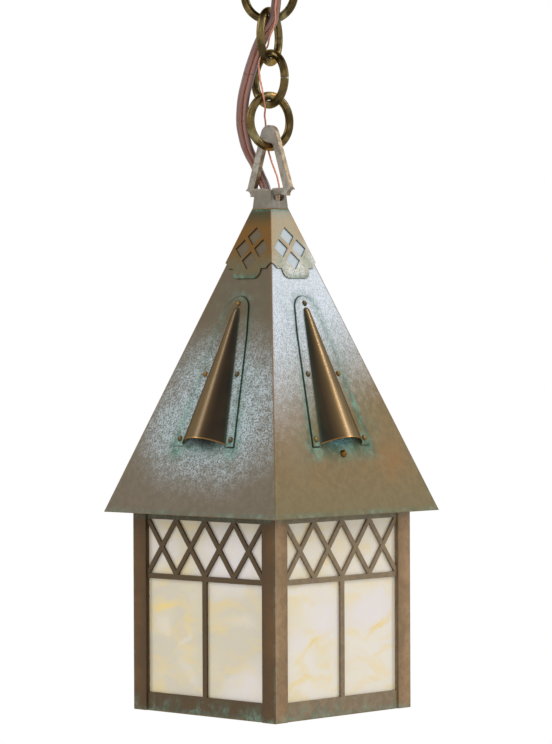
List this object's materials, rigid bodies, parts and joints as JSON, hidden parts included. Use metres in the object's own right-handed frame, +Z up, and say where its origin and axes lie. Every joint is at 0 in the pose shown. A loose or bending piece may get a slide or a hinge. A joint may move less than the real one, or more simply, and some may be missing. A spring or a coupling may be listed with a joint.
{
  "type": "pendant lantern",
  "caption": "Square pendant lantern with lattice panels, art glass, pierced roof cap and conical dormer hoods, hung by a bail and ring chain from a round ceiling canopy.",
  "frame": {"origin": "ceiling plane, midway between the crossbar's two screw holes", "axes": "+Z up out of the ceiling face, +X along the crossbar and square to one glazed face; the lantern hangs below the origin"},
  "size_m": [0.1536, 0.1536, 0.5192],
  "materials": {
    "ceiling_crossbar_finish": "zinc grey",
    "canopy_finish": "aged bronze",
    "cord_bushing_finish": "dark plastic",
    "canopy_nipple_finish": "plain brass",
    "chain_ring_1_finish": "olive bronze with amber",
    "hanger_bail_finish": "grey brown patina",
    "roof_cap_finish": "pinkish brown patina",
    "roof_shell_finish": "mottled grey brown patina",
    "hood_front_finish": "smooth bronze with verdigris",
    "hood_rivets_finish": "worn brass",
    "corner_post_1_finish": "dark brown patina with verdigris",
    "glass_front_finish": "cream streaked art glass",
    "glass_clips_finish": "dull brass",
    "holder_cap_finish": "black moulded plastic",
    "bulb_glass": "frosted",
    "cord_conductor_1_finish": "clear brown insulation",
    "ground_wire_finish": null,
    "ground_screw_finish": "green"
  },
  "bodies": {
    "ceiling": {"ceiling_crossbar": "ceiling_crossbar_finish", "canopy": "canopy_finish", "cord_bushing": "cord_bushing_finish", "canopy_nipple": "canopy_nipple_finish", "nipple_locknut": "ceiling_crossbar_finish", "loop_stem": "canopy_finish", "collar_nut": "canopy_finish"},
    "ring_1": {"chain_ring_1": "chain_ring_1_finish"},
    "ring_2": {"chain_ring_2": "chain_ring_1_finish"},
    "ring_3": {"chain_ring_3": "chain_ring_1_finish"},
    "ring_4": {"chain_ring_4": "chain_ring_1_finish"},
    "lantern": {"hanger_bail": "hanger_bail_finish", "neck": "hanger_bail_finish", "roof_cap": "roof_cap_finish", "roof_shell": "roof_shell_finish", "hood_front": "hood_front_finish", "hood_right": "hood_front_finish", "hood_back": "hood_front_finish", "hood_left": "hood_front_finish", "hood_rivets": "hood_rivets_finish", "corner_post_1": "corner_post_1_finish", "corner_post_2": "corner_post_1_finish", "corner_post_3": "corner_post_1_finish", "corner_post_4": "corner_post_1_finish", "lattice_front": "corner_post_1_finish", "lattice_right": "corner_post_1_finish", "lattice_back": "corner_post_1_finish", "lattice_left": "corner_post_1_finish", "glass_front": "glass_front_finish", "glass_right": "glass_front_finish", "glass_back": "glass_front_finish", "glass_left": "glass_front_finish", "top_frame": "corner_post_1_finish", "bottom_ledge": "corner_post_1_finish", "glass_clips": "glass_clips_finish", "lamp_strap": "glass_clips_finish", "strap_screws": "hood_rivets_finish", "strap_nuts": "canopy_nipple_finish", "lamp_nipple": "canopy_nipple_finish", "lamp_locknuts": "canopy_nipple_finish", "holder_cap": "holder_cap_finish", "holder_body": "holder_cap_finish", "screw_shell": "canopy_nipple_finish", "centre_contact": "canopy_nipple_finish", "bulb": "bulb_glass", "cord_conductor_1": "cord_conductor_1_finish", "cord_conductor_2": "cord_conductor_1_finish", "ground_wire": "ground_wire_finish", "ground_screw": "ground_screw_finish"}
  },
  "joints": [
    {"name": "loop_to_ring_1", "type": "hinge", "parent": "ceiling", "child": "ring_1", "pos_m": [0, 0, -0.046], "axis": [-0.4848, 0.8746, 0], "range_deg": [-30, 30], "deforming": ["cord_conductor_1", "cord_conductor_2", "ground_wire"]},
    {"name": "ring_1_to_ring_2", "type": "hinge", "parent": "ring_1", "child": "ring_2", "pos_m": [0, 0, -0.0733], "axis": [0.8746, 0.4848, 0], "range_deg": [-30, 30], "deforming": ["cord_conductor_1", "cord_conductor_2", "ground_wire"]},
    {"name": "ring_2_to_ring_3", "type": "hinge", "parent": "ring_2", "child": "ring_3", "pos_m": [0, 0, -0.1007], "axis": [-0.3907, 0.9205, 0], "range_deg": [-30, 30], "deforming": ["cord_conductor_1", "cord_conductor_2", "ground_wire"]},
    {"name": "ring_3_to_ring_4", "type": "hinge", "parent": "ring_3", "child": "ring_4", "pos_m": [0, 0, -0.1281], "axis": [0.9816, -0.1908, 0], "range_deg": [-30, 30], "deforming": ["cord_conductor_1", "cord_conductor_2", "ground_wire"]},
    {"name": "ring_4_to_bail", "type": "hinge", "parent": "ring_4", "child": "lantern", "pos_m": [0, 0, -0.1555], "axis": [0.1045, 0.9945, 0], "range_deg": [-30, 30], "deforming": ["cord_conductor_1", "cord_conductor_2", "ground_wire"]}
  ]
}
